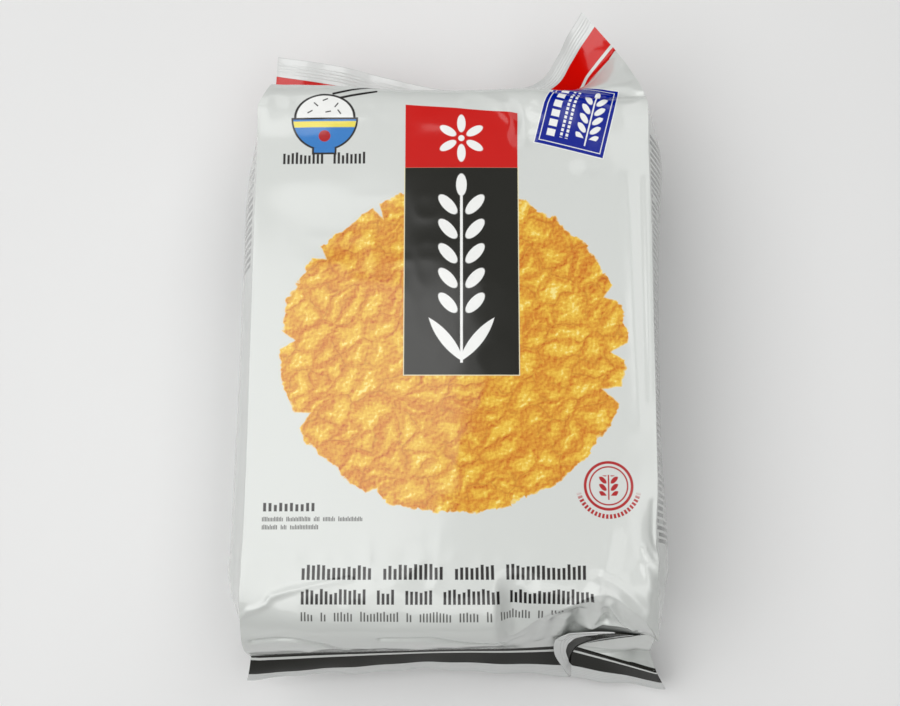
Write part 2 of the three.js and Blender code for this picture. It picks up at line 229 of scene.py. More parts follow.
# The rails of a fin's base and of its sealed edge, on each of its two leaves
TOP_RAILS = ((TOP_BASE, TOP_BASE), (TOP_SEAL, TOP_SEAL))
RAILS = {
    ("top", "front"): TOP_RAILS,
    ("top", "back"): TOP_RAILS,
    ("bottom", "front"): ((BOTTOM_BASE, BOTTOM_FLAP_BASE), (BOTTOM_SEAL, BOTTOM_FLAP_SEAL)),
    ("bottom", "back"): ((BOTTOM_BASE, BOTTOM_BACK_BASE), (BOTTOM_SEAL, BOTTOM_BACK_SEAL)),
}


def length(vectors):
    return np.linalg.norm(vectors, axis=-1, keepdims=True)


def fin_grid(end, leaf, s, t, film):
    """Points of a fin on one leaf: t is 0 at its base and 1 at its sealed edge."""
    base, seal = RAILS[end, leaf]
    low, high = np.maximum(s - NORMAL_STEP, -HALF_WIDTH), np.minimum(s + NORMAL_STEP, HALF_WIDTH)
    across = (on(base, high) + on(seal, high) - on(base, low) - on(seal, low)) / 2
    down = on(seal, s) - on(base, s)
    normal = np.cross(down, across)

    closed, parted, reach = film
    is_open = (s > OPEN_FROM) & (end == "bottom")
    offset = np.where(is_open, parted, closed)[..., None]
    outward = (1 if end == "bottom" else -1) * (1 if leaf == "front" else -1)
    start = on(base, s) + down / length(down) * np.asarray(reach)[..., None]
    t = t[:, None, None]
    shape = ribs((1 - t) * length(down)) + edge_wave(s)[..., None] * t**2
    if end == "bottom":
        shape = shape + FIN_CURL * np.sin(math.pi * t) * rise(s, *CURL_START)[..., None]
    return lerp(start, on(seal, s), t) + normal / length(normal) * (outward * offset + shape)


def ribs(from_edge):
    inside = smooth((from_edge - RIBBED[0]) / RIB_PITCH) * smooth((RIBBED[1] - from_edge) / RIB_PITCH)
    return RIB_HEIGHT * inside * np.sin(from_edge * 2 * math.pi / RIB_PITCH)


def edge_wave(s):
    return sum(height * np.sin(s * 2 * math.pi / long + phase) for height, long, phase in EDGE_WAVES)


def panel_film(s):
    """The panel's film, which passes into the edge fold at the long creases."""
    share = rise(np.abs(s), HALF_WIDTH - EDGE_BLEND, HALF_WIDTH)
    return [lerp(panel, edge, share) for panel, edge in zip(PANEL_FILM, EDGE_FOLD)]


def bezier(p0, p1, p2, p3, t):
    t = t[:, None, None]
    r = 1 - t
    return p0 * r**3 + p1 * 3 * r * r * t + p2 * 3 * r * t * t + p3 * t**3


def front_panel(s, y):
    u = s / HALF_WIDTH
    down = (PANEL_TOP - y) / (PANEL_TOP - PANEL_BOTTOM)
    half = np.where(u < 0, FRONT_LEFT + LEFT_FLARE * down**2, FRONT_RIGHT)
    return np.stack(np.broadcast_arrays(u * half, y, DEPTH + CROWN * (1 - u * u)), axis=-1)


def back_panel(s, y):
    u = s / HALF_WIDTH
    return np.stack(np.broadcast_arrays(u * BACK_HALF, y, 0.0), axis=-1)


def panel_end(end):
    return PANEL_BOTTOM if end == "bottom" else PANEL_TOP


def front_wall(end, s, w):
    """From the panel over its crease to the fin: w is 0 at the panel and 1 at the fin."""
    target = fin_grid(end, "front", s, FIN_BASE, panel_film(s))[0]
    if end == "bottom":
        crease, pull = along(BOTTOM_CREASE, s), along(BOTTOM_PULL, s)
    else:
        crease = along(TOP_CREASE, s)
        pull = lerp(crease, target, TOP_PULL)
    rounded = bezier(front_panel(s, panel_end(end)), crease, pull, target, w)
    if end == "top":
        return rounded
    return lerp(rounded, ridged_wall(s, w, target), rise(s, *RIDGE_START)[..., None])


def ridged_wall(s, w, target):
    """The lower right corner: out to the ridge, over it and down the dent's far side."""
    start, rim = front_panel(s, PANEL_BOTTOM), along(RIDGE, np.maximum(s, RIDGE[0][0]))
    brow = lerp(start, rim, BROW_ALONG)
    brow[..., 2] += BROW * rise(DEPTH + CROWN - rim[..., 2], 0, BROW_DROP)
    hollow = lerp(rim, target, 0.5)
    hollow[..., 1] += HOLLOW * rise(s, *HOLLOW_START)
    hollow[..., 1:] += np.multiply.outer(rise(s, *SHELF_START) * rise(s, *SHELF_END), SHELF)
    above = bezier(start, lerp(start, brow, 2 / 3), lerp(rim, brow, 2 / 3), rim, w / RIDGE_SHARE)
    below = bezier(rim, lerp(rim, hollow, 2 / 3), lerp(target, hollow, 2 / 3), target,
                   (w - RIDGE_SHARE) / (1 - RIDGE_SHARE))
    return np.where(w[:, None, None] < RIDGE_SHARE, above, below)


def back_wall(end, s, w):
    target = fin_grid(end, "back", s, FIN_BASE, panel_film(s))[0]
    crease = along(BOTTOM_BACK_CREASE if end == "bottom" else TOP_BACK_CREASE, s)
    return bezier(back_panel(s, panel_end(end)), crease, lerp(crease, target, BACK_PULL), target, w)


def fold_in_fin(end, side, t):
    s = np.array([side * (MID_FOLD + FOLD_SHIFT)])
    return fin_grid(end, "back", s, t, MIDDLE_FOLD)


def bulged_fold(side, y):
    """The gusset's middle fold on the bulged side."""
    x = along(RIGHT_FOLD if side > 0 else LEFT_FOLD, y)[:, 0]
    return np.stack(np.broadcast_arrays(x, y, FOLD_HEIGHT), axis=-1)


def middle_fold(end, side, w):
    """The gusset's middle fold, from the bulged side to where it is tucked into the fin."""
    start = bulged_fold(side, np.array([panel_end(end)]))
    target = fold_in_fin(end, side, FIN_BASE)[0]
    if end == "bottom" and side > 0:
        w = w[:, None, None]
        return np.where(w < OPEN_TURN, lerp(start, OPEN_FOLD, w / OPEN_TURN),
                        lerp(OPEN_FOLD, target, (w - OPEN_TURN) / (1 - OPEN_TURN)))
    turn = start.copy()
    turn[:, 1] = lerp(start[:, 1], target[:, 1], FOLD_TURN)
    corner = on(RAILS[end, "back"][0], np.array([side * HALF_WIDTH])) - [side * CORNER_INSET, 0, 0]
    return bezier(start, turn, lerp(start, corner, FOLD_CORNER), target, w)


def half_gusset(edge, fold, q, swell):
    """From the front or back edge (q = 0) to the middle fold (q = 1), bulging sideways."""
    q = q[None, :, None]
    points = lerp(edge, fold, q)
    sideways = (np.sin(q * math.pi / 2) - q)[..., 0]
    points[..., 0] += sideways * (fold - edge)[..., 0] * swell[:, None]
    return points


# ------------------------ the grid of the tube

TUCK_STEPS = np.linspace(0, 1, COLUMNS_TUCK + 1)
COLUMNS = np.concatenate([
    np.linspace(-HALF_WIDTH, -MID_FOLD, COLUMNS_TUCK, endpoint=False),
    np.linspace(-MID_FOLD, MID_FOLD, COLUMNS_CENTRE, endpoint=False),
    np.linspace(MID_FOLD, HALF_WIDTH, COLUMNS_TUCK + 1),
])
FRONT_END = len(COLUMNS) - 1
BACK_START = FRONT_END + 2 * COLUMNS_TUCK
BACK_END = BACK_START + FRONT_END
AROUND = BACK_END + 2 * COLUMNS_TUCK


def ring(front, back, gusset):
    """Rows round the tube: the front, right gusset, back and left gusset, each edge once."""
    return np.concatenate([
        front,
        gusset(1, "front")[:, 1:],
        gusset(1, "back")[:, -2:0:-1],
        back[:, ::-1],
        gusset(-1, "back")[:, 1:],
        gusset(-1, "front")[:, -2:0:-1],
    ], axis=1)


def fin_rows(end, t):
    def gusset(side, leaf):
        s = side * lerp(HALF_WIDTH, MID_FOLD + FOLD_SHIFT, TUCK_STEPS)
        points = fin_grid(end, leaf, s, t, GUSSET_FILM)
        points[:, -1:] = fold_in_fin(end, side, t)
        return points

    film = panel_film(COLUMNS)
    return ring(fin_grid(end, "front", COLUMNS, t, film), fin_grid(end, "back", COLUMNS, t, film),
                gusset)


def wall_rows(end, w):
    def gusset(side, leaf):
        wall = front_wall if leaf == "front" else back_wall
        edge = wall(end, np.array([side * HALF_WIDTH]), w)
        return half_gusset(edge, middle_fold(end, side, w), TUCK_STEPS, (1 - w) ** 2)

    return ring(front_wall(end, COLUMNS, w), back_wall(end, COLUMNS, w), gusset)


def panel_rows(y):
    def gusset(side, leaf):
        panel = front_panel if leaf == "front" else back_panel
        edge = panel(np.array([side * HALF_WIDTH]), y[:, None])
        fold = bulged_fold(side, y)[:, None]
        return half_gusset(edge, fold, TUCK_STEPS, np.ones(len(y)))

    return ring(front_panel(COLUMNS, y[:, None]), back_panel(COLUMNS, y[:, None]), gusset)


def tube():
    """The whole grid, from the lower sealed edge to the upper one."""
    ribbed = 1 - SEAL_WIDTH / FIN
    fin = np.concatenate([np.linspace(0, ribbed, ROWS_BAND, endpoint=False),
                          np.linspace(ribbed, 1, ROWS_SEAL + 1)])
    wall = np.linspace(0, 1, ROWS_WALL + 1)[1:-1]
    return np.concatenate([
        fin_rows("bottom", fin[::-1]),
        wall_rows("bottom", wall[::-1]),
        panel_rows(np.linspace(PANEL_BOTTOM, PANEL_TOP, ROWS_PANEL + 1)),
        wall_rows("top", wall),
        fin_rows("top", fin),
    ])


FIRST_PANEL_ROW = ROWS_FIN + ROWS_WALL
LAST_PANEL_ROW = FIRST_PANEL_ROW + ROWS_PANEL


# ------------------------ places on the printed film

def film_coordinates(points):
    """For each grid point its place across the film, along it, and its way from a sealed edge."""
    rows = len(points)
    steps = length(np.diff(points, axis=0))[..., 0]
    travelled = np.concatenate([np.zeros((1, AROUND)), np.cumsum(steps, axis=0)])
    y_up = np.linspace(PANEL_BOTTOM, PANEL_TOP, ROWS_PANEL + 1)
    along_film = np.empty((rows, AROUND))
    along_film[:FIRST_PANEL_ROW] = (
        PANEL_BOTTOM + travelled[:FIRST_PANEL_ROW] - travelled[FIRST_PANEL_ROW])
    along_film[FIRST_PANEL_ROW:LAST_PANEL_ROW + 1] = y_up[:, None]
    along_film[LAST_PANEL_ROW:] = PANEL_TOP + travelled[LAST_PANEL_ROW:] - travelled[LAST_PANEL_ROW]

    def across_gusset(side, leaf):
        edge = front_across[:, -1:] if side > 0 else front_across[:, :1]
        return lerp(edge, side * MID_FOLD, TUCK_STEPS)

    panel_y = np.clip(along_film[:, FRONT_END // 2], PANEL_BOTTOM, PANEL_TOP)
    front_across = front_panel(COLUMNS, panel_y[:, None])[..., 0]
    across = ring(front_across, front_across, across_gusset)

    from_edge = np.empty((rows, AROUND))
    reach = FIN - film_reach()
    lower, upper = slice(0, rows // 2), slice(rows // 2, rows)
    for half, base_row, distance, clipped in (
        (lower, ROWS_FIN, travelled, clipped_columns()),
        (upper, -1 - ROWS_FIN, travelled[-1] - travelled, False),
    ):
        width = distance[base_row]
        stretch = np.where(clipped, 1, reach / width)
        inward = distance[half] - width
        from_edge[half] = reach + inward * np.where(inward < 0, stretch, 1)
    return np.stack([across, along_film, from_edge], axis=-1)


def film_reach():
    """How far past a fin's base each column's film meets it."""
    panel = panel_film(COLUMNS)[-1][None]
    gusset = np.full((1, COLUMNS_TUCK + 1), GUSSET_FILM[-1])
    return ring(panel, panel, lambda side, leaf: gusset)[0]


def clipped_columns():
    """The columns of the turned-up flap that run out before the bands do."""
    gusset_s = lerp(HALF_WIDTH, MID_FOLD, TUCK_STEPS)[None]

    def on_flap(side, leaf):
        return gusset_s if (side, leaf) == (1, "front") else gusset_s * 0

    return ring(COLUMNS[None], COLUMNS[None] * 0, on_flap)[0] > FLAP_CLIPPED


# ------------------------ dents, folds and ripples

def value_noise(points, size, seed):
    """Smooth noise from -1 to 1 with features of about this size, the same on every run."""
    count = 32
    lattice = np.random.default_rng(seed).uniform(-1, 1, (count, count, count))
    cell = points / size + count / 2
    base = np.floor(cell).astype(int)
    part = smooth(cell - base)
    total = 0
    for corner in np.ndindex(2, 2, 2):
        i, j, k = (base + corner).reshape(-1, 3).T % count
        share = np.prod(np.where(corner, part, 1 - part), axis=-1)
        total = total + share * lattice[i, j, k].reshape(share.shape)
    return total


def outward_normals(points):
    across = np.roll(points, -1, axis=1) - np.roll(points, 1, axis=1)
    up = np.gradient(points, axis=0)
    normals = np.cross(across, up)
    return normals / np.maximum(length(normals), 1e-9)


def dent(points, centre, size, push):
    """A soft push round a centre; size is its reach along x, y and z."""
    gap = (points - centre) / size
    return points + np.exp(-np.sum(gap * gap, axis=-1, keepdims=True)) * np.asarray(push, float)


def crease(points, path, width, push):
    """A fold line along a path, highest on the line and gone at this width from it."""
    path = np.array(path, float)
    widths = np.broadcast_to(width, len(path))
    share = np.zeros(points.shape[:-1] + (1,))
    for a, b, here, there in zip(path, path[1:], widths, widths[1:]):
        line = b - a
        t = np.clip((points - a) @ line / (line @ line), 0, 1)[..., None]
        gap = length(points - (a + t * line))
        share = np.maximum(share, 1 - gap / lerp(here, there, t))
    return points + share ** FOLD_SHARPNESS * np.asarray(push, float)


FOLD_SHARPNESS = 1.5  # above 1 a fold line is sharper on the line than a straight slope

# Soft dents, as [centre, reach along each axis, push]
DENTS = (
    ((29.5, 99, 85), (4.8, 10, 9), (0, 0, -1.7)),  # between the banner and the stamp
    ((30.0, 90.5, 85), (4.6, 3.2, 9), (0, 0, -0.7)),
    ((55.2, 77.6, 85), (5.6, 3.4, 9), (0, 0, -0.5)),  # under the stamp
    ((-60, 72, 85), (16, 12, 9), (0, 0, 0.35)),
    ((10, 110, 85), (26, 6, 12), (0, 0, -0.8)),  # below the upper crease
    ((66, 112, 84), (11, 3.0, 9), (0, 0, -2.2)),  # in the crook of the turned-up corner
    ((82, -73, 84), (5.5, 11, 8), (-0.6, 0, -2.2)),  # above the kink in the right crease
    ((83.5, -92, 78), (4, 7, 8), (-1.6, 0, 0)),
)

# Fold lines, as [points along the line, reach to each side, push]. The reach is one number, or one
# for each point.
FOLDS = (
    # a sharp streak over the lower left corner
    (((-84.6, -107, 79.8), (-81.6, -104.7, 81.7), (-78.6, -104.1, 82.3), (-74.7, -102.2, 83.4),
      (-72.7, -99.3, 84.5), (-67.8, -97.8, 85.3), (-61.2, -96.2, 86), (-52.7, -94.4, 86.4),
      (-41.2, -92.4, 86.6)), (1.6, 2.0, 2.4, 2.4, 2.4, 2.2, 1.6, 1.2, 1.0), (0, 0, 1.1)),
    # folds running into the upper crease
    (((6, 112, 86), (20, 105, 86.5), (24, 98, 86.4)), 5.0, (0, 0, 0.6)),
    (((37, 112.6, 82.5), (46, 110.6, 84.2), (54.5, 109.2, 84.5), (63, 109.3, 84.3)),
     (1.2, 1.8, 2.0, 2.0), (0, 0, -1.6)),
    (((60, 109.3, 84.3), (67, 109.6, 84.2), (72, 110.4, 83.8), (81, 110.6, 83.6)),
     (1.6, 7.5, 6.0, 1.6), (0, 0, -2.3)),
    # long, soft wrinkles down the right side
    (((71.9, 72, 85.4), (73.4, 10, 85.5), (74.6, -29, 85.4)), 5.5, (0, 0, 0.4)),
    (((79.4, 72, 85), (79.2, 10, 85), (78.8, -21, 85)), 2.4, (0, 0, 0.35)),
    # facets above the lower right dent
    (((57.2, -97.4, 86), (62.4, -77, 86)), 6.0, (0, 0, 0.35)),
    (((56.1, -90.9, 86), (63.1, -94.4, 86), (68.9, -98.6, 86), (75.2, -104.5, 84)),
     3.5, (0, 0, -0.8)),
    # facets inside it
    (((57, -100, 84), (58, -104.5, 76.5), (55, -109, 66)), 4.5, (0.3, -1.8, 1.6)),
    (((61, -101.5, 83), (66.5, -108.5, 74.5), (71, -111, 72)), 3.5, (0, -1.6, 1.6)),
    (((59, -103, 80), (61.5, -108, 70.5)), 2.5, (0, 1.5, -1.5)),
    (((55, -109.6, 66.5), (61.3, -109.4, 68), (68, -109.9, 71.5)), 3.0, (0, -1.2, 2.0)),
    (((49.5, -104.5, 78), (49, -110.5, 57)), 4.0, (0, 1.5, -1.2)),
    (((44.5, -106.5, 72), (44, -113, 52)), 4.0, (0, -1.5, 1.0)),
    (((37, -108, 76), (35.5, -117, 52)), 4.0, (0, -1.2, 0.8)),
    # kinks in the right crease
    (((75.3, -80.5, 85.5), (77.7, -85.5, 85), (80.7, -88, 83.5), (83.5, -91.2, 79)),
     2.0, (0, 0, 1.1)),
    (((79.6, -62, 85), (79.2, -74, 84), (81.5, -86, 82)), 2.0, (-0.6, 0, -0.9)),
    (((75.3, -87.2, 85.4), (78.1, -96.5, 84), (83.3, -100.3, 80)), 3.0, (0, 0, 0.7)),
    # the tucks over the lower fin
    (((-82, -116.6, 68.5), (-71, -116, 73), (-63.5, -116, 73.5), (-52, -118, 70), (-44, -119.6, 62)),
     1.8, (0, 1.7, -1.2)),
    (((-30, -116, 76), (-10, -116, 77), (10.5, -117.6, 70.2), (25, -117.8, 66)),
     (1.4, 2.2, 2.2, 1.4), (0, 1.4, -1.2)),
)


def wrinkle(points):
    """The dents and fold lines that this one bag has."""
    for centre, size, push in DENTS:
        points = dent(points, centre, size, push)
    for path, width, push in FOLDS:
        points = crease(points, path, width, push)
    return points


# The crumple's waves, as (size, seed, shift of the noise, height)
BROAD_WAVE = (46, 3, 0, 0.5)
RIDGED_WAVES = ((21, 5, 7, 0.9), (9, 8, 3, 0.3))
PANEL_SHARE = 0.12  # how much of the ridged ones is left between the ends, where the film is tight
CRUMPLE_START = 18.0  # the crumple comes in over this width beyond a fin
PANEL_END_LOW = (PANEL_BOTTOM, PANEL_BOTTOM + 16)
PANEL_END_HIGH = (PANEL_TOP - 4, PANEL_TOP - 16)


def crumple(points, film):
    """Low, uneven waves square to the film, kept out of the fins, whose layers lie together."""
    normals = outward_normals(points)
    free = rise(film[..., 2], FIN, FIN + CRUMPLE_START)
    panel = rise(film[..., 1], *PANEL_END_HIGH) * rise(film[..., 1], *PANEL_END_LOW)
    size, seed, shift, broad_height = BROAD_WAVE
    broad = value_noise(points + shift, size, seed) * broad_height
    ridged = sum((0.5 - np.abs(value_noise(points + shift, size, seed))) * height
                 for size, seed, shift, height in RIDGED_WAVES)
    height = broad + lerp(1, PANEL_SHARE, panel) * ridged
    crumpled = points + normals * (height * free)[..., None]
    crumpled[..., 2] = np.maximum(crumpled[..., 2], 0)
    return crumpled


# ------------------------ the mesh

def tube_faces(rows):
    """Quads round the tube, from one row to the next."""
    a = np.arange((rows - 1) * AROUND)
    column = a % AROUND
    b = a - column + (column + 1) % AROUND
    return np.stack([a, b, b + AROUND, a + AROUND], axis=-1)


def face_regions(rows):
    """0 on the front, 1 on the gussets and 2 on the back, for each quad of the tube."""
    widths = (FRONT_END, 2 * COLUMNS_TUCK, FRONT_END, 2 * COLUMNS_TUCK)
    return np.tile(np.repeat((0, 1, 2, 1), widths), rows - 1)


def cap_faces(row, outwards):
    """Closes a sealed edge with a centre strip, four tucked strips and a triangle at each fold."""
    place = row * AROUND + np.arange(AROUND + 1) % AROUND
    left, right = COLUMNS_TUCK, COLUMNS_TUCK + COLUMNS_CENTRE
    fold_right, fold_left = FRONT_END + COLUMNS_TUCK, BACK_END + COLUMNS_TUCK
    faces = [(left, BACK_END - left, fold_left), (right, fold_right, BACK_END - right)]
    # Each strip as (where one side starts, where the other one runs back from, its columns)
    for one, other, columns in (
        (left, BACK_END - left, COLUMNS_CENTRE),
        (right, fold_right, COLUMNS_TUCK),
        (fold_right, BACK_END - right, COLUMNS_TUCK),
        (0, AROUND, COLUMNS_TUCK),
        (BACK_END, BACK_END, COLUMNS_TUCK),
    ):
        faces += [(one + i, one + i + 1, other - i - 1, other - i) for i in range(columns)]
    tidy = [tuple(dict.fromkeys(place[list(face)].tolist())) for face in faces]
    return tidy if outwards else [face[::-1] for face in tidy]


def sharpen_creases(mesh):
    """The film is folded sharply along its four long creases and the gussets' middle folds."""
    ends = np.empty(len(mesh.edges) * 2, np.int32)
    mesh.edges.foreach_get("vertices", ends)
    ends = ends.reshape(-1, 2)
    creases = (0, FRONT_END, FRONT_END + COLUMNS_TUCK, BACK_START, BACK_END, BACK_END + COLUMNS_TUCK)
    folded = np.isin(ends[:, 0] % AROUND, creases) & (ends[:, 0] % AROUND == ends[:, 1] % AROUND)
    sharp = mesh.attributes.new("sharp_edge", "BOOLEAN", "EDGE")
    sharp.data.foreach_set("value", folded)


def add_object(name, data):
    made = bpy.data.objects.new(name, data)
    bpy.context.scene.collection.objects.link(made)
    return made


def make_bag(shift, materials):
    flat = tube()
    film = film_coordinates(flat)
    points = crumple(wrinkle(flat), film)
    rows = len(points)
    caps = cap_faces(0, False) + cap_faces(rows - 1, True)
    faces = tube_faces(rows).tolist() + caps
    mesh = bpy.data.meshes.new("foil_bag")
    mesh.from_pydata((points.reshape(-1, 3) * MM + shift).tolist(), [], faces)
    for material in materials:
        mesh.materials.append(material)
    regions = np.concatenate([face_regions(rows), np.ones(len(caps), int)])
    mesh.polygons.foreach_set("material_index", regions.astype(np.int32))
    mesh.polygons.foreach_set("use_smooth", np.ones(len(faces), bool))
    attribute = mesh.attributes.new("film", "FLOAT_VECTOR", "POINT")
    attribute.data.foreach_set("vector", film.reshape(-1).astype(np.float32))
    mesh.update()
    sharpen_creases(mesh)
    return add_object("foil_bag", mesh)


# ------------------------ printing: fields and shapes

SOFT_EDGE = 0.12  # half the width over which an ink's edge fades
THIN_LINE = 0.35
SHORTEST_BAR = 0.66  # of a row's height, where bars stand for lettering


class Field:
    """A number that varies over the film. Arithmetic on it adds Math nodes to its material."""

    def __init__(self, socket):
        self.socket = socket
        self.tree = socket.id_data

    __add__ = __radd__ = lambda self, other: maths("ADD", self, other)
    __sub__ = lambda self, other: maths("SUBTRACT", self, other)
    __rsub__ = lambda self, other: maths("SUBTRACT", other, self)
    __mul__ = __rmul__ = lambda self, other: maths("MULTIPLY", self, other)
    __truediv__ = lambda self, other: maths("DIVIDE", self, other)
    __neg__ = lambda self: maths("MULTIPLY", self, -1.0)
    __abs__ = lambda self: maths("ABSOLUTE", self)


def feed(node, inputs):
    """Sets each of these inputs of a node, or links it to the socket or field that feeds it."""
    for key, value in inputs.items():
        if isinstance(value, Field):
            value = value.socket
        if isinstance(value, bpy.types.NodeSocket):
            node.id_data.links.new(value, node.inputs[key])
        else:
            node.inputs[key].default_value = value


def new_node(tree, kind, inputs, **settings):
    """A node with these settings, and with its inputs set or linked to what feeds them."""
    node = tree.nodes.new(kind)
    for name, setting in settings.items():
        setattr(node, name, setting)
    feed(node, inputs)
    return node


def maths(operation, *values, clamp=False):
    tree = next(value.tree for value in values if isinstance(value, Field))
    node = new_node(tree, "ShaderNodeMath", dict(enumerate(values)),
                    operation=operation, use_clamp=clamp)
    return Field(node.outputs[0])


def moved(place, step):
    """Places on the film, moved by the same step or by one that varies."""
    return new_node(place.id_data, "ShaderNodeVectorMath", {0: place, 1: step}).outputs[0]


def inside(distance, edge=SOFT_EDGE):
    """1 where a shape's signed distance is below zero and 0 outside it."""
    return maths("MULTIPLY_ADD", distance, -0.5 / edge, 0.5, clamp=True)


def either(*distances):
    """The union of several shapes."""
    joined = distances[0]
    for distance in distances[1:]:
        joined = maths("MINIMUM", joined, distance)
    return joined


def both(*distances):
    """What several shapes have in common."""
    shared = distances[0]
    for distance in distances[1:]:
        shared = maths("MAXIMUM", shared, distance)
    return shared


def outline(distance, width):
    return abs(distance) - width / 2


def between(value, low, high):
    return abs(value - (low + high) / 2) - (high - low) / 2


def box(x, y, centre, size):
    return both(abs(x - centre[0]) - size[0] / 2, abs(y - centre[1]) - size[1] / 2)


def hypotenuse(x, y):
    return maths("SQRT", x * x + y * y)


def disc(x, y, centre, radius):
    return hypotenuse(x - centre[0], y - centre[1]) - radius


def turned(x, y, centre, degrees):
    """Coordinates about a centre, on axes turned anticlockwise."""
    c, s = math.cos(math.radians(degrees)), math.sin(math.radians(degrees))
    u, v = x - centre[0], y - centre[1]
    return u * c + v * s, v * c - u * s


def grain(x, y, centre, length_of, width_of, degrees):
    """A rice grain: an ellipse with its length along the turned x axis."""
    u, v = turned(x, y, centre, degrees)
    return (hypotenuse(u * (2 / length_of), v * (2 / width_of)) - 1) * (width_of / 2)


def stroke(x, y, start, end, width):
    """A straight line with round ends."""
    run = math.dist(start, end)
    u, v = turned(x, y, start, math.degrees(math.atan2(end[1] - start[1], end[0] - start[0])))
    beyond = u - maths("MINIMUM", maths("MAXIMUM", u, 0.0), run)
    return hypotenuse(beyond, v) - width / 2


def repeat(value, pitch):
    """The distance from the nearest of equally spaced lines, with its sign."""
    return maths("PINGPONG", value + pitch / 2, pitch) - pitch / 2


def from_middle(value, pitch):
    """Each place's way from the middle of its own one of equal steps."""
    return (maths("FRACT", value / pitch) - 0.5) * pitch


def bars(value, pitch, ink):
    """Equally spaced bars along one direction; ink is the share of the pitch that they take."""
    return abs(from_middle(value, pitch)) - ink * pitch / 2


def cell_random(x, y, seed):
    """A random number from 0 to 1 for each whole cell of two coordinates."""
    place = new_node(x.tree, "ShaderNodeCombineXYZ",
                     {0: maths("FLOOR", x), 1: maths("FLOOR", y), 2: seed})
    node = new_node(x.tree, "ShaderNodeTexWhiteNoise", {"Vector": place.outputs[0]})
    return Field(node.outputs["Value"])


def text_row(x, y, left, middle, height, words, pitch, ink):
    """A row of plain bars in place of lettering: two bars a letter, in words of given lengths."""
    start = left
    masks = []
    for letters in words:
        end = start + letters * pitch
        masks.append(between(x, start, end))
        start = end + pitch
    stroke_number = (x - left) / pitch * 2
    random_height = cell_random(stroke_number, y * 0, height * 10 + len(words))
    tallness = SHORTEST_BAR + (1 - SHORTEST_BAR) * random_height
    above, below = y - middle + height / 2 - tallness * height, middle - height / 2 - y
    return both(either(*masks), bars(x - left, pitch / 2, ink), above, below)


# ------------------------ the film's colours

def srgb(red, green, blue):
    """A colour as the eye names it, 0 to 255, in the renderer's linear light."""
    channels = np.array([red, green, blue]) / 255
    linear = np.where(channels <= 0.04045, channels / 12.92, ((channels + 0.055) / 1.055) ** 2.4)
    return (*linear.tolist(), 1.0)


PEARL = srgb(216, 219, 216)
SILVER = srgb(216, 218, 217)
RED = srgb(205, 11, 4)
BLACK = srgb(24, 24, 18)
WHITE = srgb(246, 247, 245)
BLUE = srgb(0, 28, 146)
BOWL_BLUE = srgb(60, 128, 200)
YELLOW = srgb(238, 222, 92)
SEAL_RED = srgb(176, 36, 40)
DARK_INK = srgb(44, 42, 42)
GREY_INK = srgb(96, 96, 94)
PALE_LINE = srgb(240, 232, 196)

METAL = 0.06  # the white ink lets little of the metal layer through
PRESSED_COAT = 0.35  # how much of the coat is left where the film is pressed flat
SURFACE = {
    "Metallic": METAL,
    "Roughness": 0.32,
    "Specular IOR Level": 0.0,
    "Coat Weight": 1.0,
    "Coat Roughness": 0.1,
    "Coat IOR": 1.5,
}
NOISE_STEP = (311.0, 173.0)  # the noise of each seed lies this far from the last one's
CELL_STEP = (57.0, 31.0)  # and so do its cells


def seeded(seed, step, shift):
    """Where on the plane of noise or cells a seed's own part lies."""
    return (shift[0] + seed * step[0], shift[1] + seed * step[1], 0)


class Film:
    """A film material in the making: its places on the film, and its colour so far."""

    def __init__(self, name):
        self.material = bpy.data.materials.new(name)
        self.material.use_nodes = True
        self.tree = self.material.node_tree
        self.shader = self.tree.nodes["Principled BSDF"]
        feed(self.shader, SURFACE)
        attribute = new_node(self.tree, "ShaderNodeAttribute", {}, attribute_name="film")
        self.place = attribute.outputs["Vector"]
        split = new_node(self.tree, "ShaderNodeSeparateXYZ", {0: self.place})
        self.x, self.y, self.from_edge = (Field(socket) for socket in split.outputs)
        self.colour = PEARL
        self.inked = None
        self.dulled = None

    def paint(self, mask, colour):
        """Lays a colour over what is there, where the mask is 1."""
        factor, under, over = 0, 6, 7
        mix = new_node(self.tree, "ShaderNodeMix", {factor: mask, under: self.colour, over: colour},
                       data_type="RGBA")
        self.colour = mix.outputs[2]

    def print_shape(self, distance, colour):
        self.paint(inside(distance), colour)

    def cover(self, mask):
        """Opaque ink hides the silver under it."""
        self.inked = mask if self.inked is None else maths("MAXIMUM", self.inked, mask)

    def dull(self, mask):
        """Less gloss, where the film has been pressed flat."""
        self.dulled = 1 - mask * (1 - PRESSED_COAT)

    def noise(self, size, detail, seed, shift=(0, 0)):
        """Smooth noise from 0 to 1 with features of this size on the film."""
        node = new_node(self.tree, "ShaderNodeTexNoise", {
            "Vector": moved(self.place, seeded(seed, NOISE_STEP, shift)),
            "Scale": 1 / size,
            "Detail": detail,
        }, noise_dimensions="2D")
        return Field(node.outputs[0])

    def finish(self):
        """Prints the bands that run round all of the film, and joins everything to the shader."""
        print_bands(self)
        metal = (1 - self.inked) * METAL
        feed(self.shader, {"Base Color": self.colour, "Metallic": metal, "Coat Weight": self.dulled})
        return self.material


# ------------------------ what is printed

THICK_BAND = (9.0, 19.8)  # from and to, measured from the sealed edge
THIN_BAND = (21.4, 24.4)

BANNER_LEFT, BANNER_RIGHT = -20.7, 26.0
BANNER_BOTTOM, BANNER_SPLIT, BANNER_TOP = -10.5, 77.0, 104.5
BANNER_SLOPE = 0.073  # the banner's upper edge falls to the right
BANNER_MIDDLE = (BANNER_LEFT + BANNER_RIGHT) / 2

